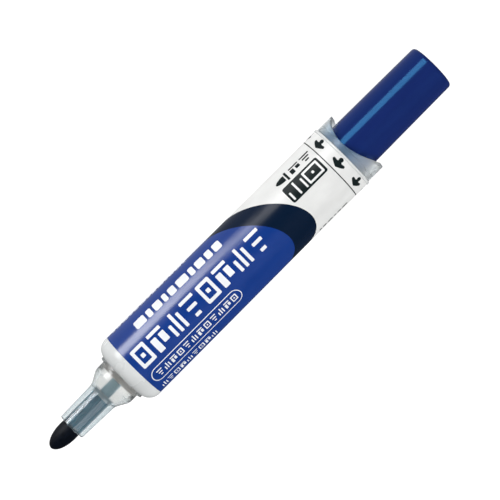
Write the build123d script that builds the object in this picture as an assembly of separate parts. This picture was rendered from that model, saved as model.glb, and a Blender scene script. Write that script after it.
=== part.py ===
from build123d import *
import os
from math import atan2, cos, radians, tan

# A refillable whiteboard marker that lies on its side, with its cap posted on its tail.
# X runs along the marker, from the nib tip (-X) to the closed end of the cap (+X).
# Z is up. The origin is under the middle of the marker, on the surface that it lies on.
# While it is drawn, a station is a distance along the axis from the nib tip, in millimetres.

# ---- Driving dimensions, front end ----
nib_radius = 2.56
nib_reach = 7.0             # nib that stands out of the nozzle
nib_point_length = 5.6      # rounded point of the nib
nib_clearance = 0.10
nozzle_wall = 0.90
nozzle_draft = 0.31         # radius that the tube gains towards the cone
nozzle_tube_length = 10.6
nozzle_bevel = 0.12
cone_length = 3.15
cone_rise = 1.78            # radius from the tube to the cap land
cone_wall = 0.90
cone_foot_round = 3.0
cone_top_round = 2.5
land_length = 2.75
flange_thickness = 0.65
flange_round = 0.12
spigot_length = 6.75
spigot_step = 0.55          # radius from the cap land to the spigot
spigot_wall = 1.10
nib_stop_length = 1.3
nib_stop_play = 0.05
throat_length = 0.6
throat_step = 0.29
wick_radius = 1.45
wick_clearance = 0.03
feed_plug_setback = 0.90    # from the feed plug's front face to the flange's
ring_section = 1.2          # width of the nozzle's and the tail plug's sealing rings
ring_depth = 0.45
nozzle_ring_offset = 1.85   # from the barrel's front face to the sealing ring

# ---- Driving dimensions, cap and tail ----
cap_clearance = 0.05
cap_wall = 0.83
cap_draft = 0.28
cap_length = 31.05
cap_end_wall = 1.5
cap_end_round = 0.85
cap_mouth_round = 0.15
liner_depth = 7.0           # from the cap's mouth to its liner
liner_step = 0.25
liner_wall = 1.05
liner_floor = 0.8
cap_gap = 0.20              # between the cap and the stop ring around it
stop_catch = 0.22           # how far the stop ring overlaps the button's flange
button_clearance = 0.10
button_travel = 3.0
button_floor_gap = 0.63     # left under the flange when the button is fully in
button_flange_length = 1.17
button_post_length = 6.5
button_wall = 0.95
button_end_wall = 1.2
button_post_chamfer = 0.35
seat_gap = 0.05             # between the cap's mouth and the button's flange
stop_gap = 0.02             # between the button's flange and the stop ring
stop_ring_length = 0.78
stop_ring_bite = 0.30
collar_spigot_wall = 0.75
collar_floor = 1.2
collar_seat_length = 0.10   # from the stop ring to the barrel's rear face
collar_inset = 0.12
collar_length = 5.1
collar_wall = 1.15
collar_floor_hole_gap = 0.5
collar_band_offset = 1.25
collar_band_width = 0.25
collar_band_depth = 0.12
ear_tip_round = 0.40
scoop_depth = 3.4           # from the ear tips to the bottom of the thumb scoops
scoop_radius = 12.0
scoop_turn = 16.0           # degrees from +Z towards +Y

# ---- Driving dimensions, barrel and label ----
barrel_length = 73.75
barrel_wall = 0.86          # at the rear
barrel_draft = 0.29
shoulder_length = 3.8
shoulder_lip = 0.12         # from the nozzle's flange to the shoulder's edge
shoulder_land = 0.65        # straight stretch between the shoulder's curve and the label
shoulder_rise = 0.05        # shoulder above the label
neck_taper = 1.6
lip_length = 0.7
lip_rise = 0.17
lip_round = 0.12
label_thickness = 0.12

# ---- Driving dimensions, ink path and pump ----
collector_gap = 0.1
collector_length = 14.0
collector_core_wall = 1.1
fin_count = 12
fin_thickness = 0.5
fin_clearance = 0.1
guide_disc_length = 1.4
guide_boss_length = 0.6
guide_tube_length = 2.2
guide_tube_wall = 0.8
guide_hole_radius = 1.0
guide_port_radius = 0.45
guide_port_count = 6
guide_port_circle = 2.9
chamber_radius = 4.0
chamber_length = 9.5
valve_wall = 1.0
port_radius = 2.2
gasket_thickness = 0.6
gasket_play = 0.1
poppet_gap = 0.02           # between the poppet and its gasket
poppet_head_radius = 3.3
poppet_head_length = 1.38
poppet_pin_radius = 0.93
poppet_pin_length = 5.3
poppet_stem_radius = 1.2
poppet_stem_length = 2.12
valve_lash = 0.03           # between the poppet's stem and the push rod
valve_spring_wire = 0.5
valve_spring_radius = 2.6   # to the middle of the wire
valve_spring_turns = 5
rod_radius = 1.5
rod_clearance = 0.05
rod_socket_depth = 0.6
plug_length = 5.4
plug_hollow_depth = 2.4
plug_hollow_wall = 2.2
plug_ring_offset = 2.9
rod_seal_length = 1.4
rod_seal_width = 1.05
rod_seal_play = 0.02
gland_depth = 1.9
return_spring_wire = 0.7
return_spring_radius = 3.9
return_spring_turns = 6

# ---- Radii that follow from the sizes above ----
nozzle_bore_r = nib_radius + nib_clearance
tube_front_r = nozzle_bore_r + nozzle_wall
tube_rear_r = tube_front_r + nozzle_draft
land_r = tube_rear_r + cone_rise
cap_bore_r = land_r + cap_clearance
cap_mouth_r = cap_bore_r + cap_wall
cap_end_r = cap_mouth_r - cap_draft
stop_ring_r = cap_mouth_r + cap_gap
button_flange_r = stop_ring_r + stop_catch
collar_bore_r = button_flange_r + button_clearance
barrel_bore_r = collar_bore_r + collar_spigot_wall
barrel_rear_r = barrel_bore_r + barrel_wall
barrel_front_r = barrel_rear_r + barrel_draft
shoulder_r = barrel_front_r + label_thickness + shoulder_rise
lip_r = barrel_rear_r + label_thickness + lip_rise
collar_r = barrel_rear_r - collar_inset
collar_inner_r = collar_r - collar_wall
flange_r = cap_mouth_r
spigot_r = land_r + spigot_step
spigot_bore_r = spigot_r - spigot_wall
throat_r = nozzle_bore_r + throat_step
wick_bore_r = wick_radius + wick_clearance
post_r = cap_bore_r - cap_clearance
liner_r = cap_bore_r - liner_step
rod_bore_r = rod_radius + rod_clearance

# ---- Stations that follow from the lengths above ----
nozzle_mouth = nib_reach
cone_foot = nozzle_mouth + nozzle_tube_length
cone_top = cone_foot + cone_length
flange_front = cone_top + land_length
barrel_front = flange_front + flange_thickness
nozzle_rear = barrel_front + spigot_length
throat_front = cone_foot - throat_length
nib_stop_rear = throat_front + nib_stop_length
nozzle_ring_front = barrel_front + nozzle_ring_offset
feed_plug_front = flange_front - feed_plug_setback
label_front = barrel_front + shoulder_length
barrel_rear = barrel_front + barrel_length
label_rear = barrel_rear - lip_length
collector_front = nozzle_rear + neck_taper + collector_gap
collector_rear = collector_front + collector_length
guide_rear = collector_rear + guide_disc_length
guide_boss_rear = guide_rear + guide_boss_length
seat_front = guide_rear + chamber_length
valve_rear = seat_front + valve_wall
gasket_front = seat_front - gasket_thickness
poppet_rear = gasket_front - poppet_gap
poppet_front = poppet_rear - poppet_head_length
stem_rear = poppet_rear + poppet_stem_length
rod_front = stem_rear + valve_lash
stop_ring_rear = barrel_rear - collar_seat_length
stop_ring_front = stop_ring_rear - stop_ring_length
flange_rear = stop_ring_front - stop_gap
button_front = flange_rear - button_flange_length
post_rear = flange_rear + button_post_length
button_inner_end = post_rear - button_end_wall
collar_floor_rear = button_front - button_travel - button_floor_gap
collar_front = collar_floor_rear - collar_floor
plug_rear = collar_front
plug_front = plug_rear - plug_length
plug_ring_front = plug_rear - plug_ring_offset
ear_tips = barrel_rear + collar_length
scoop_bottom = ear_tips - scoop_depth
cap_mouth = flange_rear + seat_gap
cap_end = cap_mouth + cap_length
cap_inner_end = cap_end - cap_end_wall
liner_front = cap_mouth + liner_depth
overall_length = cap_end
axis_height = shoulder_r


def turned(outline, rounds=()):
    """Turn a closed outline of (station, radius) points about the marker's axis.

    Each entry of rounds is (station, radius, fillet) for a corner of the outline."""
    face = make_face(Polyline(*outline, close=True))
    for station, radius, fillet_radius in rounds:
        corner = face.vertices().sort_by_distance((station, radius, 0))[0]
        face = fillet(corner, fillet_radius)
    return revolve(face, Axis.X, 360)


def tube(front, rear, bore, radius):
    """A plain tube between two stations."""
    return turned([(front, bore), (front, radius), (rear, radius), (rear, bore)])


def rod(front, rear, radius):
    """A plain round rod between two stations."""
    return turned([(front, 0), (front, radius), (rear, radius), (rear, 0)])


def coil_spring(front, rear, coil_radius, wire, turns):
    """A compression spring whose wire touches a seat at each station."""
    rise = rear - front - wire
    line = Helix(pitch=rise / turns, height=rise, radius=coil_radius)
    section = Plane(origin=line @ 0, z_dir=line % 0) * Circle(wire / 2)
    return Pos(front + wire / 2, 0, 0) * Rot(Y=90) * sweep(section, path=line, is_frenet=True)


def make_nib():
    """Fibre bullet nib with a long rounded point."""
    point = EllipticalCenterArc((nib_point_length, 0), nib_point_length, nib_radius, 90, arc_size=90)
    body = Polyline((nib_point_length, nib_radius), (throat_front, nib_radius), (throat_front, 0), (0, 0))
    return revolve(make_face(point.edges() + body.edges()), Axis.X, 360)


def make_nozzle():
    """Clear nozzle: tube, flared cone, cap land, flange and the spigot inside the barrel."""
    cone_slope = cone_rise / cone_length
    inner_top = cone_top + cone_wall * cone_slope
    outline = [
        (nozzle_mouth, nozzle_bore_r),
        (nozzle_mouth, tube_front_r - nozzle_bevel),
        (nozzle_mouth + nozzle_bevel, tube_front_r),
        (cone_foot, tube_rear_r),
        (cone_top, land_r),
        (flange_front, land_r),
        (flange_front, flange_r),
        (barrel_front, flange_r),
        (barrel_front, spigot_r),
        (nozzle_ring_front, spigot_r),
        (nozzle_ring_front, spigot_r - ring_depth),
        (nozzle_ring_front + ring_section, spigot_r - ring_depth),
        (nozzle_ring_front + ring_section, spigot_r),
        (nozzle_rear, spigot_r),
        (nozzle_rear, spigot_bore_r),
        (feed_plug_front, spigot_bore_r),
        (inner_top, land_r - cone_wall),
        (cone_foot, throat_r),
        (throat_front, throat_r),
        (throat_front, nozzle_bore_r),
    ]
    rounds = [
        (cone_foot, tube_rear_r, cone_foot_round),
        (cone_top, land_r, cone_top_round),
        (flange_front, flange_r, flange_round),
    ]
    return turned(outline, rounds)


def make_nib_stop():
    """Ring at the nozzle's throat that the nib's end seats on."""
    return tube(throat_front, nib_stop_rear, wick_bore_r, throat_r - nib_stop_play)


def make_feed_plug():
    """Plug in the nozzle's spigot that centres the wick."""
    rib_front = barrel_front + ring_section
    rib_rear = nozzle_rear - ring_section
    waist_r = (wick_bore_r + spigot_bore_r) / 2
    outline = [
        (feed_plug_front, wick_bore_r),
        (feed_plug_front, spigot_bore_r),
        (rib_front, spigot_bore_r),
        (rib_front, waist_r),
        (rib_rear, waist_r),
        (rib_rear, spigot_bore_r),
        (nozzle_rear, spigot_bore_r),
        (nozzle_rear, wick_bore_r),
    ]
    return turned(outline)


def make_barrel():
    """Translucent barrel: rounded shoulder, neck for the nozzle, label seat and rear lip."""
    mouth_r = flange_r + shoulder_lip
    crown = (label_front - shoulder_land, shoulder_r)
    shoulder = TangentArc(crown, (barrel_front, mouth_r), tangent=(-1, 0))
    body = Polyline(
        crown,
        (label_front, shoulder_r),
        (label_front, barrel_front_r),
        (label_rear, barrel_rear_r),
        (label_rear, lip_r),
        (barrel_rear, lip_r),
        (barrel_rear, barrel_bore_r),
        (nozzle_rear + neck_taper, barrel_bore_r),
        (nozzle_rear, spigot_r),
        (barrel_front, spigot_r),
        (barrel_front, mouth_r),
    )
    face = make_face(shoulder.edges() + body.edges())
    for station in (label_rear, barrel_rear):
        corner = face.vertices().sort_by_distance((station, lip_r, 0))[0]
        face = fillet(corner, lip_round)
    return revolve(face, Axis.X, 360)


def make_label_film():
    """Printed film shrunk on the barrel between its shoulder and its lip."""
    outline = [
        (label_front, barrel_front_r),
        (label_front, barrel_front_r + label_thickness),
        (label_rear, barrel_rear_r + label_thickness),
        (label_rear, barrel_rear_r),
    ]
    return turned(outline)


def make_ink_collector():
    """Comb of thin fins around the wick, which holds back surplus ink."""
    core_r = wick_bore_r + collector_core_wall
    fin_r = barrel_bore_r - fin_clearance
    pitch = (collector_length - fin_thickness) / (fin_count - 1)
    comb = tube(collector_front, collector_rear, wick_bore_r, core_r)
    for index in range(fin_count):
        front = collector_front + index * pitch
        comb += tube(front, front + fin_thickness, wick_bore_r, fin_r)
    return comb


def make_relay_wick():
    """Fibre rod that carries ink from the valve to the nib."""
    return rod(throat_front, collector_rear, wick_radius)


def make_valve_guide():
    """Front cover of the valve, with a guide tube for the poppet and a ring of ink ports."""
    tube_rear = guide_boss_rear + guide_tube_length
    tube_r = guide_hole_radius + guide_tube_wall
    outline = [
        (collector_rear, guide_hole_radius),
        (collector_rear, barrel_bore_r),
        (guide_rear, barrel_bore_r),
        (guide_rear, chamber_radius),
        (guide_boss_rear, chamber_radius),
        (guide_boss_rear, tube_r),
        (tube_rear, tube_r),
        (tube_rear, guide_hole_radius),
    ]
    cover = turned(outline)
    drill_length = 2 * (guide_boss_rear - collector_rear)
    for index in range(guide_port_count):
        turn = Rot(X=index * 360 / guide_port_count)
        drill = Pos(guide_rear, guide_port_circle, 0) * Rot(Y=90) * Cylinder(guide_port_radius, drill_length)
        cover -= turn * drill
    return cover


def make_valve_housing():
    """Rear half of the valve: its chamber, and the wall with the ink port."""
    outline = [
        (guide_rear, chamber_radius),
        (guide_rear, barrel_bore_r),
        (valve_rear, barrel_bore_r),
        (valve_rear, port_radius),
        (seat_front, port_radius),
        (seat_front, chamber_radius),
    ]
    return turned(outline)


def make_valve_gasket():
    """Rubber seat that the poppet closes on."""
    return tube(gasket_front, seat_front, port_radius + gasket_play, chamber_radius)


def make_valve_poppet():
    """Poppet with a guide pin in front and a stem behind."""
    outline = [
        (poppet_front - poppet_pin_length, 0),
        (poppet_front - poppet_pin_length, poppet_pin_radius),
        (poppet_front, poppet_pin_radius),
        (poppet_front, poppet_head_radius),
        (poppet_rear, poppet_head_radius),
        (poppet_rear, poppet_stem_radius),
        (stem_rear, poppet_stem_radius),
        (stem_rear, 0),
    ]
    return turned(outline)


def make_valve_spring():
    """Closing spring between the valve's cover and the poppet."""
    return coil_spring(guide_boss_rear, poppet_front, valve_spring_radius, valve_spring_wire, valve_spring_turns)


def make_push_rod():
    """Rod from the tail button to the valve."""
    return rod(rod_front, button_inner_end + rod_socket_depth, rod_radius)


def make_tail_plug():
    """Plug that closes the ink tank, with glands for its ring and for the rod's seal."""
    gland_r = rod_radius + rod_seal_width
    hollow_r = barrel_bore_r - plug_hollow_wall
    groove_r = barrel_bore_r - ring_depth
    outline = [
        (plug_front + plug_hollow_depth, rod_bore_r),
        (plug_front + plug_hollow_depth, hollow_r),
        (plug_front, hollow_r),
        (plug_front, barrel_bore_r),
        (plug_ring_front, barrel_bore_r),
        (plug_ring_front, groove_r),
        (plug_ring_front + ring_section, groove_r),
        (plug_ring_front + ring_section, barrel_bore_r),
        (plug_rear, barrel_bore_r),
        (plug_rear, gland_r),
        (plug_rear - gland_depth, gland_r),
        (plug_rear - gland_depth, rod_bore_r),
    ]
    return turned(outline)


def make_rod_seal():
    """Seal that the push rod slides through."""
    front = plug_rear - gland_depth
    return tube(front, front + rod_seal_length, rod_radius + rod_seal_play, rod_radius + rod_seal_width)


def make_return_spring():
    """Spring that pushes the button out."""
    return coil_spring(
        collar_floor_rear, button_inner_end, return_spring_radius, return_spring_wire, return_spring_turns
    )


def make_push_button():
    """Tail button: a flange that slides in the collar, and a post that the cap is pushed on."""
    bore_r = post_r - button_wall
    outline = [
        (button_front, bore_r),
        (button_front, button_flange_r),
        (flange_rear, button_flange_r),
        (flange_rear, post_r),
        (post_rear - button_post_chamfer, post_r),
        (post_rear, post_r - button_post_chamfer),
        (post_rear, 0),
        (button_inner_end + rod_socket_depth, 0),
        (button_inner_end + rod_socket_depth, rod_radius),
        (button_inner_end, rod_radius),
        (button_inner_end, bore_r),
    ]
    return turned(outline)


def make_stop_ring():
    """Snap ring in the collar that keeps the button in."""
    return tube(stop_ring_front, stop_ring_rear, stop_ring_r, collar_bore_r + stop_ring_bite)


def make_rear_collar():
    """Collar with a spigot in the barrel, a spring seat, and two ears between thumb scoops."""
    band_front = barrel_rear + collar_band_offset
    band_rear = band_front + collar_band_width
    band_r = collar_r - collar_band_depth
    groove_r = collar_bore_r + stop_ring_bite
    outline = [
        (collar_front, rod_radius + collar_floor_hole_gap),
        (collar_front, barrel_bore_r),
        (barrel_rear, barrel_bore_r),
        (barrel_rear, collar_r),
        (band_front, collar_r),
        (band_front, band_r),
        (band_rear, band_r),
        (band_rear, collar_r),
        (ear_tips, collar_r),
        (ear_tips, collar_inner_r),
        (barrel_rear, collar_inner_r),
        (stop_ring_rear, groove_r),
        (stop_ring_front, groove_r),
        (stop_ring_front, collar_bore_r),
        (collar_floor_rear, collar_bore_r),
        (collar_floor_rear, rod_radius + collar_floor_hole_gap),
    ]
    collar = turned(outline, [(ear_tips, collar_r, ear_tip_round)])
    cutter = Cylinder(scoop_radius, 4 * collar_r)
    return collar - Pos(scoop_bottom + scoop_radius, 0, 0) * Rot(X=-scoop_turn) * cutter


def make_cap():
    """Glossy cap, open at its mouth and slightly narrower at its closed end."""
    outline = [
        (cap_mouth, cap_bore_r),
        (cap_mouth, cap_mouth_r),
        (cap_end, cap_end_r),
        (cap_end, 0),
        (cap_inner_end, 0),
        (cap_inner_end, liner_r),
        (liner_front, liner_r),
        (liner_front - liner_step, cap_bore_r),
    ]
    rounds = [
        (cap_mouth, cap_mouth_r, cap_mouth_round),
        (cap_end, cap_end_r, cap_end_round),
    ]
    return turned(outline, rounds)


def make_cap_liner():
    """Soft cup inside the cap that keeps the nib from drying."""
    bore_r = liner_r - liner_wall
    floor = cap_inner_end - liner_floor
    outline = [
        (liner_front, bore_r),
        (liner_front, liner_r),
        (cap_inner_end, liner_r),
        (cap_inner_end, 0),
        (floor, 0),
        (floor, bore_r),
    ]
    return turned(outline)


parts = {
    "nib": make_nib(),
    "nozzle": make_nozzle(),
    "nib_stop": make_nib_stop(),
    "relay_wick": make_relay_wick(),
    "feed_plug": make_feed_plug(),
    "nozzle_seal": tube(
        nozzle_ring_front, nozzle_ring_front + ring_section, spigot_r - ring_depth, spigot_r
    ),
    "barrel": make_barrel(),
    "label_film": make_label_film(),
    "ink_collector": make_ink_collector(),
    "valve_guide": make_valve_guide(),
    "valve_housing": make_valve_housing(),
    "valve_gasket": make_valve_gasket(),
    "valve_poppet": make_valve_poppet(),
    "valve_spring": make_valve_spring(),
    "push_rod": make_push_rod(),
    "tail_plug": make_tail_plug(),
    "plug_seal": tube(
        plug_ring_front, plug_ring_front + ring_section, barrel_bore_r - ring_depth, barrel_bore_r
    ),
    "rod_seal": make_rod_seal(),
    "return_spring": make_return_spring(),
    "push_button": make_push_button(),
    "stop_ring": make_stop_ring(),
    "rear_collar": make_rear_collar(),
    "cap": make_cap(),
    "cap_liner": make_cap_liner(),
}

place = Pos(-overall_length / 2, 0, axis_height)
os.makedirs("parts", exist_ok=True)
for name, shape in parts.items():
    placed = place * shape
    placed.label = name
    export_step(placed, f"parts/{name}.step")

# The sizes that the mounts and the cap's opening are stated from, for whoever edits them.
land_front = cone_top + cone_top_round * tan(atan2(cone_rise, cone_length) / 2)
shift = -overall_length / 2
print("overall length", round(overall_length, 3), "axis height", round(axis_height, 3))
print("cap land", round(land_front + shift, 3), "to", round(flange_front + shift, 3), "radius", round(land_r, 3))
print("cap end", round(cap_end + shift, 3), "cap mouth", round(cap_mouth + shift, 3))
print("post end", round(post_rear + shift, 3), "ear tips", round(ear_tips + shift, 3))
opening_half = (liner_r - liner_wall) * cos(radians(45))
print("cap hollow", round(liner_front + shift, 3), "to", round(cap_inner_end - liner_floor + shift, 3),
      "half width", round(opening_half, 3))
print("return spring seat", round(collar_floor_rear + shift, 3),
      "valve spring seat", round(guide_boss_rear + shift, 3))
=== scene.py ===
from math import cos, hypot, pi, radians, sin

import bmesh
import bpy
from bpy.props import FloatProperty, FloatVectorProperty, IntProperty, PointerProperty
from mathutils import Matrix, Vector


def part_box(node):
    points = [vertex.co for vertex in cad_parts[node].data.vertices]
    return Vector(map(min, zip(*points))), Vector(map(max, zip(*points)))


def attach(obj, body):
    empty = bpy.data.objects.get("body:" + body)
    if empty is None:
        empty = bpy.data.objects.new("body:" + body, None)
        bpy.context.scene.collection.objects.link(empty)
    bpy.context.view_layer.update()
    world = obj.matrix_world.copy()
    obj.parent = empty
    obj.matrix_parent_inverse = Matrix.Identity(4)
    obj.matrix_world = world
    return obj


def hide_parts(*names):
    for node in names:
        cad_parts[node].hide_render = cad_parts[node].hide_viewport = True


bl_info = {
    "name": "Whiteboard marker",
    "version": (1, 0, 0),
    "blender": (4, 5, 0),
    "location": "View3D > Sidebar > Marker",
    "description": "Finishes a refillable whiteboard marker: printed label, clear nozzle, posted cap",
    "category": "Object",
}

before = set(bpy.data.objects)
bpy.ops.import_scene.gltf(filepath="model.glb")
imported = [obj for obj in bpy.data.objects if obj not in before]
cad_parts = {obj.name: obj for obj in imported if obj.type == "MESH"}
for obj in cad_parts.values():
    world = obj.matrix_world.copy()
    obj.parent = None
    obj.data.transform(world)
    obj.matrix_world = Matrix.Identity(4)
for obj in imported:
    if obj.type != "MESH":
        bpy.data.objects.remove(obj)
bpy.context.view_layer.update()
MM = 0.001

# ---- Places that come from the frame ----
LABEL_LOW, LABEL_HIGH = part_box("label_film")
NOZZLE_LOW, NOZZLE_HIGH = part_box("nozzle")
COLLAR_LOW, COLLAR_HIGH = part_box("rear_collar")
CAP_LOW, CAP_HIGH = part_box("cap")
STOP_LOW, STOP_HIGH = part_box("stop_ring")
BARREL_REAR_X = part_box("barrel")[1].x
SPRING_SEAT_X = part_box("return_spring")[0].x
AXIS_Z = (CAP_LOW.z + CAP_HIGH.z) / 2


def radius_near(node, x, outermost=True):
    """Radius of a CAD node about the marker's axis, at the ring of points nearest to x."""
    same_ring = 0.02 * MM
    points = [v.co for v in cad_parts[node].data.vertices]
    nearest = min(abs(p.x - x) for p in points)
    ring = [hypot(p.y, p.z - AXIS_Z) for p in points if abs(p.x - x) < nearest + same_ring]
    return max(ring) if outermost else min(ring)


LABEL_LENGTH = LABEL_HIGH.x - LABEL_LOW.x
LABEL_FRONT_R = radius_near("label_film", LABEL_LOW.x)
LABEL_REAR_R = radius_near("label_film", LABEL_HIGH.x)
FILM_THICKNESS = LABEL_FRONT_R - radius_near("label_film", LABEL_LOW.x, outermost=False)
BARREL_BORE_R = radius_near("barrel", BARREL_REAR_X, outermost=False)
COLLAR_OUTER_R = radius_near("rear_collar", BARREL_REAR_X)
COLLAR_INNER_R = radius_near("rear_collar", BARREL_REAR_X, outermost=False)
COLLAR_HOLE_R = radius_near("rear_collar", COLLAR_LOW.x, outermost=False)
STOP_GROOVE_R = radius_near("stop_ring", STOP_LOW.x)


# ---- Sizes and colours that a user would change ----
class MarkerLabelSizes(bpy.types.PropertyGroup):
    """Sizes and places of what is printed on the label, from the label's front edge."""

    fields_tilt: FloatProperty(
        name="Fields' tilt",
        description="Half of how far the slanted edges of the blue fields run along the barrel",
        default=10.45 * MM, unit="LENGTH", precision=5)
    fields_turn: FloatProperty(
        name="Fields' turn",
        description="Where around the barrel the blue fields reach furthest back, from the top towards -Y",
        default=radians(31), subtype="ANGLE")
    blue_end: FloatProperty(
        name="Blue field's end", description="Middle of the blue field's slanted edge",
        default=36.9 * MM, unit="LENGTH", precision=5)
    navy_end: FloatProperty(
        name="Navy field's end", description="Middle of the navy field's slanted edge",
        default=44.2 * MM, unit="LENGTH", precision=5)
    print_thickness: FloatProperty(
        name="Print thickness", description="How far the printed marks stand on the film",
        default=0.012 * MM, unit="LENGTH", precision=6)
    title_start: FloatProperty(
        name="Title's start", description="Front end of the row of large marks",
        default=1.6 * MM, unit="LENGTH", precision=5)
    title_pitch: FloatProperty(
        name="Title's pitch", description="Distance between the large marks",
        default=5.36 * MM, unit="LENGTH", precision=5)
    title_count: IntProperty(
        name="Title's marks", description="How many large marks there are", default=8, min=1)
    ring_place: FloatProperty(
        name="Ring line", description="Middle of the line round the rear of the label",
        default=65.62 * MM, unit="LENGTH", precision=5)
    ring_tilt: FloatProperty(
        name="Ring line's tilt",
        description="How much further back the ring line is at the top than at the sides",
        default=0.16 * MM, unit="LENGTH", precision=5)
    arrow_count: IntProperty(
        name="Arrows", description="How many push arrows go round the rear of the label", default=8, min=1)
    arrow_turn: FloatProperty(
        name="Arrows' turn", description="Where the first push arrow is, from the top towards -Y",
        default=radians(3), subtype="ANGLE")


class MarkerCollarSizes(bpy.types.PropertyGroup):
    """Sizes of the collar's thumb scoops, rim, spigot and groove."""

    rim_round: FloatProperty(
        name="Rim rounding", description="How far the rounding along the collar's rim reaches",
        default=0.34 * MM, unit="LENGTH", precision=5)
    scoop_depth: FloatProperty(
        name="Scoop depth", description="From the ears' tips down to the bottom of the thumb scoops",
        default=3.4 * MM, unit="LENGTH", precision=5)
    scoop_radius: FloatProperty(
        name="Scoop radius", description="Radius of the thumb scoops",
        default=12.0 * MM, unit="LENGTH", precision=5)
    scoop_turn: FloatProperty(
        name="Scoop turn", description="How far the scoops are turned from the top towards +Y",
        default=radians(16), subtype="ANGLE")
    spigot_wall: FloatProperty(
        name="Spigot wall", description="Wall of the spigot inside the barrel",
        default=0.75 * MM, unit="LENGTH", precision=5)
    groove_place: FloatProperty(
        name="Groove place", description="From the barrel's rear face to the groove round the collar",
        default=1.25 * MM, unit="LENGTH", precision=5)
    groove_width: FloatProperty(
        name="Groove width", description="Width of the groove round the collar",
        default=0.25 * MM, unit="LENGTH", precision=5)
    groove_depth: FloatProperty(
        name="Groove depth", description="Depth of the groove round the collar",
        default=0.12 * MM, unit="LENGTH", precision=5)


class MarkerColours(bpy.types.PropertyGroup):
    """Colours of the marker's print, plastics and fibre, and the collar's painted shade."""

    blue_print: FloatVectorProperty(
        name="Blue print", description="Colour of the label's front field",
        subtype="COLOR", size=3, min=0, max=1, default=(0.0042, 0.038, 0.235))
    navy_print: FloatVectorProperty(
        name="Navy print", description="Colour of the label's slanted band",
        subtype="COLOR", size=3, min=0, max=1, default=(0.0022, 0.010, 0.030))
    white_film: FloatVectorProperty(
        name="White film", description="Colour of the label's unprinted film",
        subtype="COLOR", size=3, min=0, max=1, default=(0.76, 0.765, 0.755))
    white_print: FloatVectorProperty(
        name="White print", description="Colour of the white marks on the blue field",
        subtype="COLOR", size=3, min=0, max=1, default=(0.82, 0.84, 0.87))
    tile_print: FloatVectorProperty(
        name="Tile's print", description="Colour of the white marks on the black tile",
        subtype="COLOR", size=3, min=0, max=1, default=(0.80, 0.81, 0.81))
    black_print: FloatVectorProperty(
        name="Black print", description="Colour of the black marks",
        subtype="COLOR", size=3, min=0, max=1, default=(0.008, 0.014, 0.015))
    cap_plastic: FloatVectorProperty(
        name="Cap", description="Colour of the cap's plastic",
        subtype="COLOR", size=3, min=0, max=1, default=(0.009, 0.022, 0.128))
    ink_fibre: FloatVectorProperty(
        name="Inked fibre", description="Colour of the nib where it is wet",
        subtype="COLOR", size=3, min=0, max=1, default=(0.0035, 0.0065, 0.014))
    barrel_plastic: FloatVectorProperty(
        name="Barrel", description="Colour of the barrel's milky plastic",
        subtype="COLOR", size=3, min=0, max=1, default=(0.72, 0.74, 0.74))
    collar_plastic: FloatVectorProperty(
        name="Collar", description="Colour of the collar's milky plastic on its ears",
        subtype="COLOR", size=3, min=0, max=1, default=(0.8975, 0.9375, 0.9425))
    # Painted shade: the collar's colour turns to this darker blue towards the middle of its scoops.
    collar_painted_shade: FloatVectorProperty(
        name="Collar's shade", description="Colour of the collar's plastic in the middle of its scoops",
        subtype="COLOR", size=3, min=0, max=1, default=(0.38, 0.60, 0.80))


class MarkerStageSizes(bpy.types.PropertyGroup):
    """Sizes of the stage: the camera and the floor."""

    view_distance: FloatProperty(
        name="Camera distance", description="From the marker's axis up to the camera",
        default=0.544, unit="LENGTH")
    view_roll: FloatProperty(
        name="Camera roll", description="Angle between the marker and the picture's lower edge",
        default=radians(45), subtype="ANGLE")
    view_x: FloatProperty(
        name="Camera along", description="How far the camera is from the marker's middle, towards the tail",
        default=2.57 * MM, unit="LENGTH", precision=5)
    view_y: FloatProperty(
        name="Camera across", description="How far the camera is from the marker's axis, towards +Y",
        default=-0.21 * MM, unit="LENGTH", precision=5)
    lens: FloatProperty(
        name="Lens", description="Focal length in millimetres", default=165.0, min=1)
    floor_size: FloatProperty(
        name="Floor", description="Length of the floor's side", default=6.0, unit="LENGTH")


def settings(name):
    """The scene's property group of that name."""
    return getattr(bpy.context.scene, name)


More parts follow.
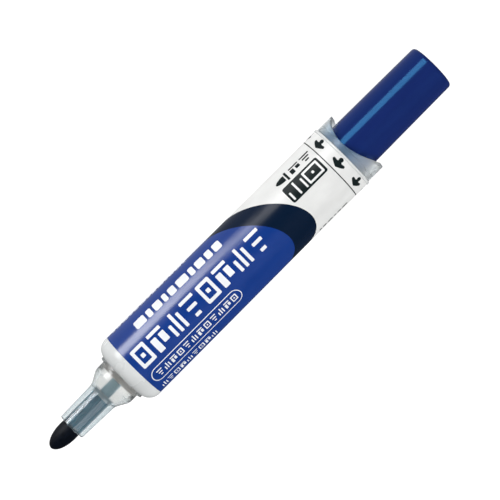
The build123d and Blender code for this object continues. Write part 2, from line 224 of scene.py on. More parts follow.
# ---- Materials ----
class Finish:
    """A node material in the making, with short calls for the nodes that its parts share."""

    # Most of a noise's values lie between these two.
    noise_low = 0.3
    noise_high = 0.7

    # The colour sockets of a Mix node, by their index.
    mix_first = 6
    mix_second = 7
    mix_result = 2

    def __init__(self, name, **sockets):
        self.material = bpy.data.materials.new(name)
        self.material.use_nodes = True
        self.nodes = self.material.node_tree.nodes
        self.links = self.material.node_tree.links
        self.shader = self.nodes["Principled BSDF"]
        for socket, value in sockets.items():
            self.shader.inputs[socket.replace("_", " ")].default_value = value
        self.coordinates = self.nodes.new("ShaderNodeTexCoord").outputs["Object"]

    def noise(self, along, around, detail=3.0, roughness=0.5):
        """A noise pattern with that many repeats for each metre, along the marker and across it."""
        mapping = self.nodes.new("ShaderNodeMapping")
        mapping.inputs["Scale"].default_value = (along, around, around)
        self.links.new(self.coordinates, mapping.inputs["Vector"])
        texture = self.nodes.new("ShaderNodeTexNoise")
        texture.inputs["Scale"].default_value = 1.0
        texture.inputs["Detail"].default_value = detail
        texture.inputs["Roughness"].default_value = roughness
        self.links.new(mapping.outputs["Vector"], texture.inputs["Vector"])
        return texture.outputs["Fac"]

    def ramp(self, source, dark, light, start=noise_low, end=noise_high):
        """Two colours that blend where the source goes from start to end."""
        ramp = self.nodes.new("ShaderNodeValToRGB")
        for element, place, colour in zip(ramp.color_ramp.elements, (start, end), (dark, light)):
            element.position = place
            element.color = (*colour, 1.0)
        self.links.new(source, ramp.inputs["Fac"])
        return ramp.outputs["Color"]

    def ranged(self, source, start, end, low=0.0, high=1.0):
        """A value that goes from low to high where the source goes from start to end."""
        spread = self.nodes.new("ShaderNodeMapRange")
        spread.inputs["From Min"].default_value = start
        spread.inputs["From Max"].default_value = end
        spread.inputs["To Min"].default_value = low
        spread.inputs["To Max"].default_value = high
        self.links.new(source, spread.inputs["Value"])
        return spread.outputs["Result"]

    def along(self, start, end):
        """0 at the place start along the marker, and 1 at end."""
        split = self.nodes.new("ShaderNodeSeparateXYZ")
        self.links.new(self.coordinates, split.inputs["Vector"])
        return self.ranged(split.outputs["X"], start, end)

    def across(self, turn, start, end):
        """0 at the distance start from the axis, and 1 at end, both ways along a line through the axis.

        The line is turned by that much from the top towards +Y."""
        away = self.nodes.new("ShaderNodeVectorMath")
        away.operation = "SUBTRACT"
        away.inputs[1].default_value = (0.0, 0.0, AXIS_Z)
        self.links.new(self.coordinates, away.inputs[0])
        height = self.nodes.new("ShaderNodeVectorMath")
        height.operation = "DOT_PRODUCT"
        height.inputs[1].default_value = (0.0, sin(turn), cos(turn))
        self.links.new(away.outputs["Vector"], height.inputs[0])
        distance = self.nodes.new("ShaderNodeMath")
        distance.operation = "ABSOLUTE"
        self.links.new(height.outputs["Value"], distance.inputs[0])
        return self.ranged(distance.outputs["Value"], start, end)

    def mixed(self, factor, first, second):
        """Two colours, each a tuple or an output, mixed by a factor."""
        mix = self.nodes.new("ShaderNodeMix")
        mix.data_type = "RGBA"
        self.links.new(factor, mix.inputs["Factor"])
        for index, colour in ((self.mix_first, first), (self.mix_second, second)):
            if isinstance(colour, bpy.types.NodeSocket):
                self.links.new(colour, mix.inputs[index])
            else:
                mix.inputs[index].default_value = (*colour, 1.0)
        return mix.outputs[self.mix_result]

    def drive(self, socket, source):
        """Gives an output to a socket of the shader."""
        self.links.new(source, self.shader.inputs[socket])

    def paint(self, colour):
        """Uses an output as the surface's colour."""
        self.drive("Base Color", colour)

    def vary(self, source, low, high):
        """Varies the roughness between low and high with a noise."""
        self.drive("Roughness", self.ranged(source, self.noise_low, self.noise_high, low, high))

    def bump(self, source, height, strength=1.0):
        """Raises the surface by up to height, in metres."""
        bump = self.nodes.new("ShaderNodeBump")
        bump.inputs["Strength"].default_value = strength
        bump.inputs["Distance"].default_value = height
        self.links.new(source, bump.inputs["Height"])
        self.drive("Normal", bump.outputs["Normal"])


def scaled(colour, factor):
    """A colour made lighter or darker."""
    return tuple(min(1.0, channel * factor) for channel in colour)


def printed_film(name, colour, low=0.20, high=0.26, ior=1.5):
    """Glossy printed film: faint unevenness of the ink, and a soft ripple of the shrunk film."""
    finish = Finish(name, IOR=ior)
    cloud = finish.noise(along=220, around=420, detail=5.0)
    finish.paint(finish.ramp(cloud, scaled(colour, 0.96), scaled(colour, 1.04)))
    finish.vary(cloud, low, high)
    finish.bump(finish.noise(along=60, around=160, detail=2.0), 0.004 * MM, strength=0.4)
    return finish.material


def milky_plastic(name, colour, transmission, roughness):
    """Translucent moulded plastic, faintly clouded."""
    finish = Finish(name, IOR=1.45, Transmission_Weight=transmission)
    cloud = finish.noise(along=90, around=140)
    finish.paint(finish.ramp(cloud, scaled(colour, 0.985), scaled(colour, 1.015)))
    finish.vary(cloud, roughness - 0.02, roughness + 0.03)
    return finish.material


def collar_plastic(colour, painted_shade, scoop_turn):
    """Milky plastic of the collar: pale on its ears, with painted shade that darkens it to blue towards the
    middle of its scoops.
    """
    finish = Finish("collar_plastic", IOR=1.42, Transmission_Weight=0.82)
    cloud = finish.noise(along=90, around=140)
    pale = finish.ramp(cloud, scaled(colour, 0.986), scaled(colour, 1.014))
    # Painted shade: the colour darkens to blue towards the middle of the scoops, by distance from the axis.
    painted_shade_mask = finish.across(scoop_turn, 0.45 * COLLAR_OUTER_R, COLLAR_OUTER_R)
    finish.paint(finish.mixed(painted_shade_mask, pale, painted_shade))
    finish.vary(cloud, 0.28, 0.33)
    return finish.material


def clear_plastic():
    """Clear nozzle plastic: crisp along the tube, hazy on the cone, and milky where it enters the barrel."""
    cone = NOZZLE_LOW.x + 10.2 * MM
    barrel_mouth = NOZZLE_HIGH.x - 3.4 * MM
    finish = Finish("clear_plastic", IOR=1.49)
    tint = finish.nodes.new("ShaderNodeVolumeAbsorption")
    tint.inputs["Color"].default_value = (0.55, 0.66, 0.70, 1.0)
    tint.inputs["Density"].default_value = 300
    finish.links.new(tint.outputs["Volume"], finish.nodes["Material Output"].inputs["Volume"])
    flow = finish.noise(along=70, around=1300)
    tube_colour = finish.ramp(flow, (0.93, 0.955, 0.96), (0.965, 0.97, 0.97))
    cone_colour = (0.985, 0.965, 0.945)
    finish.paint(finish.mixed(finish.along(cone, cone + 1.5 * MM), tube_colour, cone_colour))
    hazy = finish.along(cone, cone + 1.2 * MM)
    finish.drive("Roughness", finish.ranged(hazy, 0, 1, low=0.03, high=0.17))
    milky = finish.along(barrel_mouth - 0.8 * MM, barrel_mouth + 0.4 * MM)
    finish.drive("Transmission Weight", finish.ranged(milky, 0, 1, low=0.96, high=0.12))
    return finish.material


def wet_fibre(colour, mouth):
    """Felted nib: lengthwise fibres, wet and dark in front of the nozzle's mouth, and paler teal inside it,
    a painted lightening for the haze of the clear tube in front of it.
    """
    finish = Finish("wet_fibre", IOR=1.5, Specular_IOR_Level=0.22)
    strands = finish.noise(along=500, around=5200, detail=6.0, roughness=0.65)
    wet = finish.ramp(strands, scaled(colour, 0.2), scaled(colour, 1.1), start=0.35, end=0.72)
    # Painted lightening: behind the nozzle's mouth the fibre is painted paler teal, in place of the haze of
    # the tube in front of it.
    painted_haze_fibre = finish.ramp(strands, (0.020, 0.095, 0.15), (0.085, 0.26, 0.37), start=0.35)
    finish.paint(finish.mixed(finish.along(mouth - 0.1 * MM, mouth + 0.9 * MM), wet, painted_haze_fibre))
    finish.vary(strands, 0.42, 0.62)
    finish.bump(strands, 0.05 * MM, strength=0.9)
    return finish.material


def relay_fibre():
    """Bundled fibres of the wick."""
    finish = Finish("relay_fibre", IOR=1.45)
    strands = finish.noise(along=300, around=5200, detail=5.0, roughness=0.6)
    finish.paint(finish.ramp(strands, (0.17, 0.31, 0.38), (0.32, 0.49, 0.57)))
    finish.vary(strands, 0.5, 0.7)
    finish.bump(strands, 0.03 * MM, strength=0.8)
    return finish.material


def moulded_plastic(name, dark, light, roughness):
    """Opaque moulded plastic with a fine texture."""
    finish = Finish(name, IOR=1.5)
    cloud = finish.noise(along=500, around=900, detail=4.0)
    finish.paint(finish.ramp(cloud, dark, light))
    finish.vary(cloud, roughness - 0.05, roughness + 0.08)
    finish.bump(finish.noise(along=3500, around=3500, detail=2.0), 0.004 * MM, strength=0.4)
    return finish.material


def seal_rubber(name):
    """Black rubber of the seals and the gasket."""
    return moulded_plastic(name, dark=(0.012, 0.012, 0.013), light=(0.03, 0.03, 0.03), roughness=0.62)


def cap_plastic(colour):
    """Glossy pigmented cap plastic with faint mould flow and fine scuffs."""
    finish = Finish("cap_plastic", IOR=1.4, Specular_Tint=(0.10, 0.52, 1.0, 1.0))
    flow = finish.noise(along=60, around=500, detail=4.0)
    finish.paint(finish.ramp(flow, scaled(colour, 0.92), scaled(colour, 1.08)))
    finish.vary(finish.noise(along=250, around=2600, detail=6.0), 0.10, 0.17)
    finish.bump(finish.noise(along=120, around=900, detail=2.0), 0.004 * MM, strength=0.5)
    return finish.material


def spring_wire():
    """Drawn steel wire with fine die marks."""
    finish = Finish("spring_wire", Metallic=1.0)
    marks = finish.noise(along=2500, around=2500, detail=4.0)
    finish.paint(finish.ramp(marks, (0.42, 0.42, 0.43), (0.62, 0.62, 0.63)))
    finish.vary(marks, 0.22, 0.38)
    finish.bump(marks, 0.003 * MM, strength=0.5)
    return finish.material


def floor_sheet():
    """Pale sheet that the marker lies on, which glows a little so that it stays white."""
    finish = Finish(
        "floor_sheet", Emission_Color=(1.0, 1.0, 1.0, 1.0), Emission_Strength=0.92, Roughness=0.9,
        Specular_IOR_Level=0.1)
    grain = finish.noise(along=60, around=60, detail=2.0)
    finish.paint(finish.ramp(grain, (0.24, 0.24, 0.24), (0.26, 0.26, 0.26)))
    return finish.material


def dress(node, material):
    """Gives a CAD node its finish."""
    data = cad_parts[node].data
    data.materials.clear()
    data.materials.append(material)


# ---- Mesh helpers ----
def label_radius(distance):
    """The label's radius at that distance from its front edge."""
    return LABEL_FRONT_R + (LABEL_REAR_R - LABEL_FRONT_R) * distance / LABEL_LENGTH


def around_axis(x, angle, radius):
    """A point at that angle about the marker's axis, from the top towards -Y."""
    return Vector((x, -radius * sin(angle), AXIS_Z + radius * cos(angle)))


def on_label(distance, angle, lift):
    """A point over the label: its distance from the front edge, its angle and its height above the film."""
    return around_axis(LABEL_LOW.x + distance, angle, label_radius(distance) + lift)


def finished_mesh(name, shape):
    """The mesh of a closed shape, with its faces turned outwards."""
    bmesh.ops.recalc_face_normals(shape, faces=shape.faces[:])
    mesh = bpy.data.meshes.new(name)
    shape.to_mesh(mesh)
    shape.free()
    return mesh


def new_piece(mesh, materials):
    """Links a mesh as a piece of the same name that rides on the barrel, with its finish."""
    for material in materials:
        mesh.materials.append(material)
    piece = bpy.data.objects.new(mesh.name, mesh)
    bpy.context.scene.collection.objects.link(piece)
    mesh.shade_smooth()
    mesh.set_sharp_from_angle(angle=radians(35))
    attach(piece, "barrel_body")
    return piece


def lathed(name, profile_at, columns, fields=None):
    """A closed ring of profiles about the marker's axis.

    profile_at(angle) gives a profile's (x, radius) points, and fields the material of each of its sides."""
    shape = bmesh.new()
    rings = []
    for column in range(columns):
        angle = 2 * pi * column / columns
        rings.append([shape.verts.new(around_axis(x, angle, radius)) for x, radius in profile_at(angle)])
    count = len(rings[0])
    for column in range(columns):
        here, there = rings[column], rings[(column + 1) % columns]
        for k in range(count):
            following = (k + 1) % count
            face = shape.faces.new((here[k], here[following], there[following], there[k]))
            face.material_index = fields[k] if fields else 0
    return finished_mesh(name, shape)


def arc_points(centre, radius, start, end, steps):
    """Points along an arc, from one angle to another."""
    angles = [start + (end - start) * k / steps for k in range(steps + 1)]
    return [(centre[0] + radius * cos(angle), centre[1] + radius * sin(angle)) for angle in angles]


def rounded_bar(left, low, right, high, corner=None, steps=6):
    """Outline of a bar with round corners, or with round ends where no corner is given."""
    most = min(right - left, high - low) / 2 * 0.999
    radius = most if corner is None else min(corner, most)
    corners = [
        ((right - radius, high - radius), 0), ((left + radius, high - radius), pi / 2),
        ((left + radius, low + radius), pi), ((right - radius, low + radius), 3 * pi / 2),
    ]
    outline = []
    for centre, start in corners:
        outline += arc_points(centre, radius, start, start + pi / 2, steps)
    return outline


class Print:
    """Flat marks, drawn as outlines of (distance, arc) points and then wrapped on the label.

    Arcs are measured round the barrel from the middle of the mark, at its own radius."""

    slice_angle = radians(3.0)

    def __init__(self, angle):
        self.angle = angle
        self.flat = bmesh.new()

    def area(self, outline):
        """Adds a filled outline."""
        self.flat.faces.new([self.flat.verts.new((x, y, 0.0)) for x, y in outline])

    def band(self, outer, inner):
        """Adds the band between two outlines with the same number of points."""
        rings = [[self.flat.verts.new((x, y, 0.0)) for x, y in ring] for ring in (outer, inner)]
        count = len(outer)
        for k in range(count):
            following = (k + 1) % count
            self.flat.faces.new((rings[0][k], rings[0][following], rings[1][following], rings[1][k]))

    def sliced(self):
        """Turns the marks' faces up and cuts them into narrow slices along the barrel."""
        flat = self.flat
        for face in flat.faces:
            if face.normal.z < 0:
                face.normal_flip()
        flat.normal_update()
        step = self.slice_angle * label_radius(LABEL_LENGTH / 2)
        cuts = int(max(abs(v.co.y) for v in flat.verts) / step) + 1
        for k in range(-cuts, cuts + 1):
            bmesh.ops.bisect_plane(
                flat, geom=flat.verts[:] + flat.edges[:] + flat.faces[:], dist=1e-9,
                plane_co=(0, k * step, 0), plane_no=(0, 1, 0))
        bmesh.ops.triangulate(flat, faces=flat.faces[:])
        flat.verts.index_update()

    def wrapped(self, target, thickness):
        """Wraps the sliced marks on the label, as closed sheets that stand out by the thickness.

        They reach half as far into the film, so that no gap shows under them."""
        self.sliced()
        tops, unders = {}, {}
        for vert in self.flat.verts:
            angle = self.angle + vert.co.y / label_radius(vert.co.x)
            tops[vert.index] = target.verts.new(on_label(vert.co.x, angle, thickness))
            unders[vert.index] = target.verts.new(on_label(vert.co.x, angle, -thickness / 2))
        for face in self.flat.faces:
            target.faces.new([tops[v.index] for v in reversed(face.verts[:])])
            target.faces.new([unders[v.index] for v in face.verts])
        for edge in self.flat.edges:
            if len(edge.link_faces) == 1:
                loop = edge.link_loops[0]
                first, second = loop.vert.index, loop.link_loop_next.vert.index
                target.faces.new((tops[first], tops[second], unders[second], unders[first]))
        self.flat.free()


def printed_piece(name, prints, material, layers=1):
    """Joins prints into one piece on the label, as many layers thick as stated."""
    thickness = settings("marker_label").print_thickness * layers
    shape = bmesh.new()
    for mark in prints:
        mark.wrapped(shape, thickness)
    return new_piece(finished_mesh(name, shape), [material])


def dotted_frame(row, left, low, right, high, stroke):
    """Adds a square frame with a block in its middle."""
    soft, rest = stroke * 0.22, stroke * 0.62
    middle, level = (left + right) / 2, (low + high) / 2
    row.area(rounded_bar(middle - rest, level - rest, middle + rest, level + rest, soft))
    row.band(
        rounded_bar(left, low, right, high, corner=soft * 2, steps=3),
        rounded_bar(left + stroke, low + stroke, right - stroke, high - stroke, corner=soft, steps=3))


def funnel(row, left, low, right, high, stroke):
    """Adds three bars across, each shorter than the one below."""
    middle, soft = (left + right) / 2, stroke * 0.22
    for k, share in enumerate((1.0, 0.7, 0.4)):
        bottom, half = low + k * (high - low - stroke) / 2, (right - left) * share / 2
        row.area(rounded_bar(middle - half, bottom, middle + half, bottom + stroke, corner=soft, steps=3))


def steps_mark(row, left, low, right, high, stroke):
    """Adds three upright bars of different heights."""
    for k, share in enumerate((0.6, 1.0, 0.8)):
        start, foot = left + k * (right - left - stroke) / 2, high - (high - low) * share
        row.area(rounded_bar(start, foot, start + stroke, high, corner=stroke * 0.22, steps=3))


def two_blocks(row, left, low, right, high, stroke):
    """Adds a bar with a long and a short block above it."""
    soft, block, foot = stroke * 0.22, (right - left) * 0.40, low + stroke * 1.8
    row.area(rounded_bar(left, low, right, low + stroke, corner=soft, steps=3))
    row.area(rounded_bar(left, foot, left + block, high, corner=soft, steps=3))
    row.area(rounded_bar(right - block, foot, right, high - (high - foot) * 0.3, corner=soft, steps=3))


MARK_KINDS = (dotted_frame, funnel, steps_mark, two_blocks)


def mark_row(angle, start, pitch, count, width, height, stroke, first=0, step=1):
    """A row of abstract marks along the barrel, which starts with one kind and goes through the others."""
    row = Print(angle)
    for index in range(count):
        draw = MARK_KINDS[(first + index * step) % len(MARK_KINDS)]
        left = start + index * pitch
        draw(row, left, -height / 2, left + width, height / 2, stroke)
    return row


def bar_row(angle, start, gap, lengths, height, corner=None):
    """A row of plain bars of the given lengths along the barrel."""
    row = Print(angle)
    place = start
    for length in lengths:
        row.area(rounded_bar(place, -height / 2, place + length, height / 2, corner))
        place += length + gap
    return row


# ---- Label ----
def make_label_film():
    """Shrink film round the barrel in three fields, as one closed sleeve, which replaces the CAD film."""
    sizes, colours = settings("marker_label"), settings("marker_colours")
    edge_round = 0.04 * MM
    blue, navy, white = range(3)

    def profile_at(angle):
        """Profile of the film's front edge, its three fields, its rear edge and its inside."""
        slant = sizes.fields_tilt * cos(angle - sizes.fields_turn)
        blue_edge, navy_edge = sizes.blue_end + slant, sizes.navy_end + slant
        stations = [
            (0.0, -FILM_THICKNESS), (0.0, -edge_round), (edge_round, 0.0), (blue_edge / 2, 0.0),
            (blue_edge, 0.0), (navy_edge, 0.0), ((navy_edge + LABEL_LENGTH) / 2, 0.0),
            (LABEL_LENGTH - edge_round, 0.0), (LABEL_LENGTH, -edge_round), (LABEL_LENGTH, -FILM_THICKNESS),
        ]
        return [(LABEL_LOW.x + distance, label_radius(distance) + lift) for distance, lift in stations]

    mesh = lathed("printed_label", profile_at, columns=288, fields=[blue] * 4 + [navy] + [white] * 5)
    materials = [
        printed_film("blue_print", colours.blue_print, ior=1.6),
        printed_film("navy_print", colours.navy_print, ior=1.33),
        printed_film("white_film", colours.white_film, 0.30, 0.38),
    ]
    piece = new_piece(mesh, materials)
    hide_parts("label_film")


def make_front_marks():
    """White marks on the blue field: a large row, a row of blocks, an outline and small rows."""
    sizes, colours = settings("marker_label"), settings("marker_colours")
    white = printed_film("white_print", colours.white_print, 0.32, 0.40)

    title = mark_row(
        angle=radians(-0.3), start=sizes.title_start, pitch=sizes.title_pitch, count=sizes.title_count,
        width=4.15 * MM, height=5.3 * MM, stroke=0.85 * MM, step=3)
    printed_piece("title_marks", [title], white)

    block_lengths = [length * MM for length in (3.2, 1.5, 2.3, 1.3, 2.0, 3.3, 1.5, 2.5, 1.8, 2.3)]
    heading = bar_row(
        angle=radians(-42.5), start=6.9 * MM, gap=0.7 * MM, lengths=block_lengths, height=2.5 * MM,
        corner=0.45 * MM)
    printed_piece("heading_bars", [heading], white)

    left, right = 1.2 * MM, 30.3 * MM
    half, line = 1.96 * MM, 0.21 * MM
    capsule = Print(radians(38.4))
    capsule.band(
        rounded_bar(left, -half, right, half, steps=16),
        rounded_bar(left + line, -half + line, right - line, half - line, steps=16))
    inside = mark_row(
        angle=radians(38.0), start=2.9 * MM, pitch=2.22 * MM, count=12, width=1.62 * MM, height=1.75 * MM,
        stroke=0.30 * MM, first=1)
    printed_piece("capsule_line", [capsule, inside], white)

    low_row = mark_row(
        angle=radians(65), start=1.6 * MM, pitch=2.05 * MM, count=9, width=1.6 * MM, height=1.9 * MM,
        stroke=0.26 * MM, first=2, step=3)
    far_lengths = [(1.0 + 0.5 * (k % 3)) * MM for k in range(13)]
    far_row = bar_row(
        angle=radians(-80.5), start=1.7 * MM, gap=0.45 * MM, lengths=far_lengths, height=0.6 * MM)
    printed_piece("small_marks", [low_row, far_row], white)


def make_nib_picture(black):
    """Picture of a nib and its holder, with two marks behind it."""
    tip, shoulder, half = 53.6 * MM, 56.3 * MM, 0.92 * MM
    holder_front, holder_rear, holder_half = 56.65 * MM, 57.25 * MM, 1.42 * MM
    steps = 14
    turns = [pi / 2 * k / steps for k in range(steps + 1)]
    upper = [(tip + (shoulder - tip) * (1 - cos(turn)), half * sin(turn)) for turn in turns]
    picture = Print(radians(-43.0))
    picture.area(upper + [(x, -y) for x, y in reversed(upper[1:])])
    picture.area(rounded_bar(holder_front, -holder_half, holder_rear, holder_half, corner=0.06 * MM))
    marks = mark_row(
        angle=radians(-43.3), start=58.15 * MM, pitch=3.55 * MM, count=2, width=2.95 * MM,
        height=2.15 * MM, stroke=0.42 * MM, first=3, step=2)
    printed_piece("nib_picture", [picture, marks], black)


def make_tile(black):
    """Black tile with two white marks, which stand a layer higher than the tile."""
    front, rear, half = 53.7 * MM, 64.9 * MM, 2.27 * MM
    white = printed_film("tile_white_print", settings("marker_colours").tile_print, 0.32, 0.40)
    tile = Print(radians(-15.3))
    tile.area(rounded_bar(front, -half, rear, half, corner=0.55 * MM))
    printed_piece("size_tile", [tile], black)
    marks = mark_row(
        angle=radians(-15.3), start=54.3 * MM, pitch=5.3 * MM, count=2, width=4.7 * MM, height=3.5 * MM,
        stroke=0.52 * MM, first=2, step=2)
    printed_piece("size_tile_marks", [marks], white, layers=2)


def ring_line_place(angle):
    """Middle of the ring line at that angle, from the label's front edge."""
    sizes = settings("marker_label")
    return sizes.ring_place + sizes.ring_tilt * cos(angle)


def make_ring_line(black):
    """Thin line right round the label."""
    half, lift = 0.125 * MM, settings("marker_label").print_thickness

    def profile_at(angle):
        """Profile of the line: its sunk front and its raised top."""
        front, rear = ring_line_place(angle) - half, ring_line_place(angle) + half
        stations = ((front, -lift / 2), (front, lift), (rear, lift), (rear, -lift / 2))
        return [(LABEL_LOW.x + distance, label_radius(distance) + high) for distance, high in stations]

    new_piece(lathed("ring_line", profile_at, columns=240), [black])


def make_rear_marks():
    """Black marks on the white film: a nib picture, a tile, a ring line and a row of small bars."""
    black = printed_film("black_print", settings("marker_colours").black_print, 0.30, 0.38, ior=1.22)
    make_nib_picture(black)
    make_tile(black)
    make_ring_line(black)
    lengths = [(0.8 + 0.45 * (k % 3)) * MM for k in range(6)]
    small = bar_row(angle=radians(75), start=53.6 * MM, gap=0.35 * MM, lengths=lengths, height=0.62 * MM)
    printed_piece("rear_small_marks", [small], black)


def arrow_outline(tip):
    """A bold arrow that points to the nib, with rounded wings and a round tail."""
    wing = arc_points((1.22 * MM, 1.50 * MM), 0.36 * MM, radians(135), radians(-20), 8)
    tail = arc_points((2.06 * MM, 0.0), 0.58 * MM, radians(132), 0, 8)
    edge = [(0.0, 0.0), (0.24 * MM, 0.56 * MM), (0.60 * MM, 1.24 * MM)]
    upper = edge + wing + [(1.46 * MM, 0.72 * MM)] + tail
    outline = upper + [(x, -y) for x, y in reversed(upper[1:-1])]
    return [(tip + x, y) for x, y in outline]


def make_push_arrows():
    """Ring of arrows behind the line, which show which way the tail is pushed."""
    sizes, colours = settings("marker_label"), settings("marker_colours")
    gap = 0.72 * MM
    black = printed_film("arrow_print", colours.black_print, 0.30, 0.38, ior=1.22)
    prints = []
    for index in range(sizes.arrow_count):
        angle = sizes.arrow_turn + 2 * pi * index / sizes.arrow_count
        mark = Print(angle)
        mark.area(arrow_outline(ring_line_place(angle) + gap))
        prints.append(mark)
    printed_piece("push_arrows", prints, black)


# ---- Collar ----
def rounded_corner(before, corner, after, reach, steps=4):
    """Points of a rounding at a corner, that starts and ends at that reach from it."""
    corner = Vector(corner)
    start = corner + (Vector(before) - corner).normalized() * reach
    end = corner + (Vector(after) - corner).normalized() * reach
    shares = [k / steps for k in range(steps + 1)]
    return [tuple((1 - t) ** 2 * start + 2 * t * (1 - t) * corner + t * t * end) for t in shares]


def make_collar():
    """Rear collar with two ears between thumb scoops and a rounded rim, which replaces the CAD collar."""
    sizes, colours = settings("marker_collar"), settings("marker_colours")
    tips, seat, outer, inner = COLLAR_HIGH.x, BARREL_REAR_X, COLLAR_OUTER_R, COLLAR_INNER_R
    spigot_bore = BARREL_BORE_R - sizes.spigot_wall
    soft = 0.08 * MM
    groove_front = seat + sizes.groove_place
    groove_rear = groove_front + sizes.groove_width
    groove_r = outer - sizes.groove_depth
    scoop_centre = tips - sizes.scoop_depth + sizes.scoop_radius

    def rim(radius, angle):
        """Where the rim is at that radius, at that angle from the ears' middle."""
        return min(tips, scoop_centre - (sizes.scoop_radius ** 2 - (radius * cos(angle)) ** 2) ** 0.5)

    def profile_at(turn):
        """Profile of the collar's floor, spigot and wall at that angle from the top towards -Y."""
        angle = turn - radians(90) + sizes.scoop_turn
        outer_rim, inner_rim = (rim(outer, angle), outer), (rim(inner, angle), inner)
        outside = [
            (COLLAR_LOW.x, COLLAR_HOLE_R), (COLLAR_LOW.x, BARREL_BORE_R), (seat, BARREL_BORE_R),
            (seat, outer - soft), (seat + soft, outer),
            (groove_front, outer), (groove_front + soft / 2, groove_r),
            (groove_rear - soft / 2, groove_r), (groove_rear, outer),
        ]
        edge = rounded_corner((groove_front, outer), outer_rim, inner_rim, sizes.rim_round)
        edge += rounded_corner(outer_rim, inner_rim, (seat, inner), sizes.rim_round * 0.7)
        inside = [
            (seat, inner), (STOP_HIGH.x, STOP_GROOVE_R), (STOP_LOW.x, STOP_GROOVE_R),
            (STOP_LOW.x, spigot_bore), (SPRING_SEAT_X, spigot_bore), (SPRING_SEAT_X, COLLAR_HOLE_R),
        ]
        return outside + edge + inside

    mesh = lathed("collar_with_ears", profile_at, columns=240)
    material = collar_plastic(colours.collar_plastic, colours.collar_painted_shade, sizes.scoop_turn)
    piece = new_piece(mesh, [material])
    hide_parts("rear_collar")


# ---- Stage ----
def make_floor():
    """Plain pale floor under the marker."""
    half = settings("marker_stage").floor_size / 2
    mesh = bpy.data.meshes.new("floor")
    corners = [(-half, -half, 0), (half, -half, 0), (half, half, 0), (-half, half, 0)]
    mesh.from_pydata(corners, [], [(0, 1, 2, 3)])
    mesh.materials.append(floor_sheet())
    floor = bpy.data.objects.new("floor", mesh)
    bpy.context.scene.collection.objects.link(floor)
    floor.visible_glossy = False


def add_softbox(name, x, tilt, turn, distance, width, height, power):
    """A soft light that faces the axis at x, tilted from straight above towards a compass turn."""
    data = bpy.data.lights.new(name, "AREA")
    data.shape = "RECTANGLE"
    data.size = width
    data.size_y = height
    data.energy = power
    light = bpy.data.objects.new(name, data)
    away = Vector((sin(tilt) * cos(turn), sin(tilt) * sin(turn), cos(tilt)))
    light.location = Vector((x, 0.0, AXIS_Z)) + away * distance
    light.rotation_mode = "QUATERNION"
    light.rotation_quaternion = away.to_track_quat("Z", "Y")
    bpy.context.scene.collection.objects.link(light)
    return light


def make_surroundings():
    """Studio walls that are bright on the +Y side and dark overhead."""
    world = bpy.data.worlds.new("studio")
    world.use_nodes = True
    nodes, links = world.node_tree.nodes, world.node_tree.links
    side = nodes.new("ShaderNodeVectorMath")
    side.operation = "DOT_PRODUCT"
    side.inputs[1].default_value = (0.0, 0.8, -0.6)
    links.new(nodes.new("ShaderNodeTexCoord").outputs["Generated"], side.inputs[0])
    fade = nodes.new("ShaderNodeMapRange")
    fade.interpolation_type = "SMOOTHSTEP"
    for socket, value in (("From Min", 0.1), ("From Max", 0.95), ("To Min", 0.05), ("To Max", 0.38)):
        fade.inputs[socket].default_value = value
    links.new(side.outputs["Value"], fade.inputs["Value"])
    background = nodes["Background"]
    background.inputs["Color"].default_value = (1.0, 1.0, 1.0, 1.0)
    links.new(fade.outputs["Result"], background.inputs["Strength"])
    bpy.context.scene.world = world


def make_lights():
    """Two softboxes on the +Y side, and a wide fill from the other side that shows in no reflection."""
    add_softbox(
        "front_softbox", x=-78 * MM, tilt=radians(56), turn=radians(90), distance=0.36, width=0.14,
        height=0.16, power=0.66)
    add_softbox(
        "rear_softbox", x=86 * MM, tilt=radians(43), turn=radians(90), distance=0.36, width=0.12,
        height=0.16, power=0.54)
    fill = add_softbox(
        "fill_light", x=0.0, tilt=radians(45), turn=radians(-90), distance=0.5, width=0.5, height=0.5,
        power=2.6)
    fill.visible_glossy = False


def make_camera():
    """Camera straight above the marker, turned so that the marker runs up to the right."""
    stage = settings("marker_stage")
    data = bpy.data.cameras.new("camera")
    data.lens = stage.lens
    data.sensor_width = 36.0
    camera = bpy.data.objects.new("camera", data)
    camera.location = (stage.view_x, stage.view_y, AXIS_Z + stage.view_distance)
    camera.rotation_euler = (0, 0, -stage.view_roll)
    bpy.context.scene.collection.objects.link(camera)
    bpy.context.scene.camera = camera
    bpy.context.scene.view_settings.view_transform = "Standard"


# ---- Steps ----
class MARKER_OT_nib(bpy.types.Operator):
    """Finish the nib and the wick as inked fibre"""

    bl_idname = "marker.nib"
    bl_label = "Nib and wick"

    def execute(self, context):
        dress("nib", wet_fibre(settings("marker_colours").ink_fibre, mouth=NOZZLE_LOW.x))
        dress("relay_wick", relay_fibre())
        return {"FINISHED"}


class MARKER_OT_nozzle(bpy.types.Operator):
    """Finish the clear nozzle and the pale pieces inside it"""

    bl_idname = "marker.nozzle"
    bl_label = "Nozzle"

    def execute(self, context):
        dress("nozzle", clear_plastic())
        smoky, pale, clouded = (0.30, 0.40, 0.45), (0.84, 0.82, 0.79), (0.72, 0.76, 0.79)
        dress("nib_stop", milky_plastic("stop_plastic", smoky, transmission=0.15, roughness=0.30))
        dress("feed_plug", milky_plastic("plug_plastic", pale, transmission=0.10, roughness=0.35))
        dress("nozzle_seal", milky_plastic("seal_rubber", clouded, transmission=0.35, roughness=0.45))
        return {"FINISHED"}


class MARKER_OT_barrel(bpy.types.Operator):
    """Finish the translucent barrel"""

    bl_idname = "marker.barrel"
    bl_label = "Barrel"

    def execute(self, context):
        colour = settings("marker_colours").barrel_plastic
        dress("barrel", milky_plastic("barrel_plastic", colour, transmission=0.08, roughness=0.26))
        return {"FINISHED"}


class MARKER_OT_label(bpy.types.Operator):
    """Make the printed label in its three fields"""

    bl_idname = "marker.label"
    bl_label = "Label"

    def execute(self, context):
        make_label_film()
        return {"FINISHED"}


class MARKER_OT_front_marks(bpy.types.Operator):
    """Print the white marks on the blue field"""

    bl_idname = "marker.front_marks"
    bl_label = "Front marks"

    def execute(self, context):
        make_front_marks()
        return {"FINISHED"}


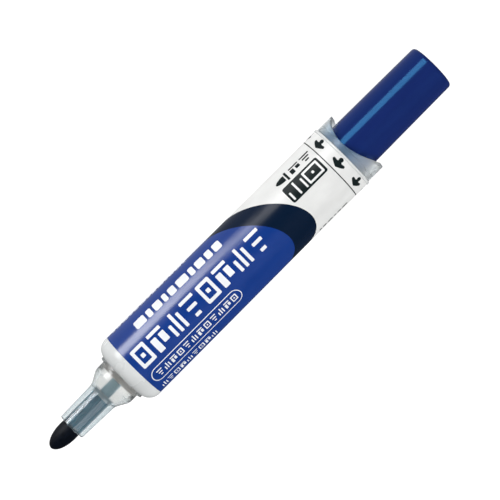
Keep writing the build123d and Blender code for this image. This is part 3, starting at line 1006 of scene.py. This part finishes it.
class MARKER_OT_rear_marks(bpy.types.Operator):
    """Print the black marks on the white film"""

    bl_idname = "marker.rear_marks"
    bl_label = "Rear marks"

    def execute(self, context):
        make_rear_marks()
        return {"FINISHED"}


class MARKER_OT_push_arrows(bpy.types.Operator):
    """Print the ring of push arrows"""

    bl_idname = "marker.push_arrows"
    bl_label = "Push arrows"

    def execute(self, context):
        make_push_arrows()
        return {"FINISHED"}


class MARKER_OT_collar(bpy.types.Operator):
    """Make the rear collar with its ears"""

    bl_idname = "marker.collar"
    bl_label = "Rear collar"

    def execute(self, context):
        make_collar()
        return {"FINISHED"}


class MARKER_OT_cap(bpy.types.Operator):
    """Finish the cap and its liner"""

    bl_idname = "marker.cap"
    bl_label = "Cap"

    def execute(self, context):
        dress("cap", cap_plastic(settings("marker_colours").cap_plastic))
        ivory = (0.80, 0.80, 0.78)
        dress("cap_liner", milky_plastic("liner_plastic", ivory, transmission=0.10, roughness=0.40))
        return {"FINISHED"}


class MARKER_OT_pump(bpy.types.Operator):
    """Finish the tail button, its rod, springs and seals"""

    bl_idname = "marker.pump"
    bl_label = "Tail pump"

    def execute(self, context):
        white = moulded_plastic(
            "pump_plastic", dark=(0.70, 0.70, 0.68), light=(0.80, 0.80, 0.78), roughness=0.32)
        rubber = seal_rubber("pump_rubber")
        for node in ("push_button", "push_rod", "stop_ring", "tail_plug"):
            dress(node, white)
        for node in ("plug_seal", "rod_seal"):
            dress(node, rubber)
        dress("return_spring", spring_wire())
        return {"FINISHED"}


class MARKER_OT_valve(bpy.types.Operator):
    """Finish the ink valve and the collector"""

    bl_idname = "marker.valve"
    bl_label = "Ink valve"

    def execute(self, context):
        pale = moulded_plastic(
            "valve_plastic", dark=(0.66, 0.67, 0.64), light=(0.78, 0.78, 0.75), roughness=0.38)
        for node in ("valve_housing", "valve_guide", "valve_poppet", "ink_collector"):
            dress(node, pale)
        dress("valve_gasket", seal_rubber("gasket_rubber"))
        dress("valve_spring", spring_wire())
        return {"FINISHED"}


class MARKER_OT_stage(bpy.types.Operator):
    """Make the floor, the soft lights and the camera"""

    bl_idname = "marker.stage"
    bl_label = "Stage"

    def execute(self, context):
        make_floor()
        make_surroundings()
        make_lights()
        make_camera()
        return {"FINISHED"}


class MARKER_PT_panel(bpy.types.Panel):
    """Sizes, colours and steps of the marker"""

    bl_label = "Whiteboard marker"
    bl_idname = "MARKER_PT_panel"
    bl_space_type = "VIEW_3D"
    bl_region_type = "UI"
    bl_category = "Marker"

    def draw(self, context):
        for name, group in GROUPS.items():
            column = self.layout.column(align=True)
            for prop in group.__annotations__:
                column.prop(getattr(context.scene, name), prop)
        for operator in OPERATORS:
            self.layout.operator(operator.bl_idname)


GROUPS = {
    "marker_label": MarkerLabelSizes,
    "marker_collar": MarkerCollarSizes,
    "marker_colours": MarkerColours,
    "marker_stage": MarkerStageSizes,
}
OPERATORS = (
    MARKER_OT_stage, MARKER_OT_nib, MARKER_OT_nozzle, MARKER_OT_barrel,
    MARKER_OT_label, MARKER_OT_front_marks, MARKER_OT_rear_marks, MARKER_OT_push_arrows,
    MARKER_OT_collar, MARKER_OT_cap, MARKER_OT_pump, MARKER_OT_valve,
)


def register():
    for cls in (*GROUPS.values(), *OPERATORS, MARKER_PT_panel):
        bpy.utils.register_class(cls)
    for name, group in GROUPS.items():
        setattr(bpy.types.Scene, name, PointerProperty(type=group))


def unregister():
    for name in GROUPS:
        delattr(bpy.types.Scene, name)
    for cls in reversed((*GROUPS.values(), *OPERATORS, MARKER_PT_panel)):
        bpy.utils.unregister_class(cls)


def main():
    register()
    for operator in OPERATORS:
        group, name = operator.bl_idname.split(".")
        getattr(getattr(bpy.ops, group), name)()


if __name__ == "__main__":
    main()
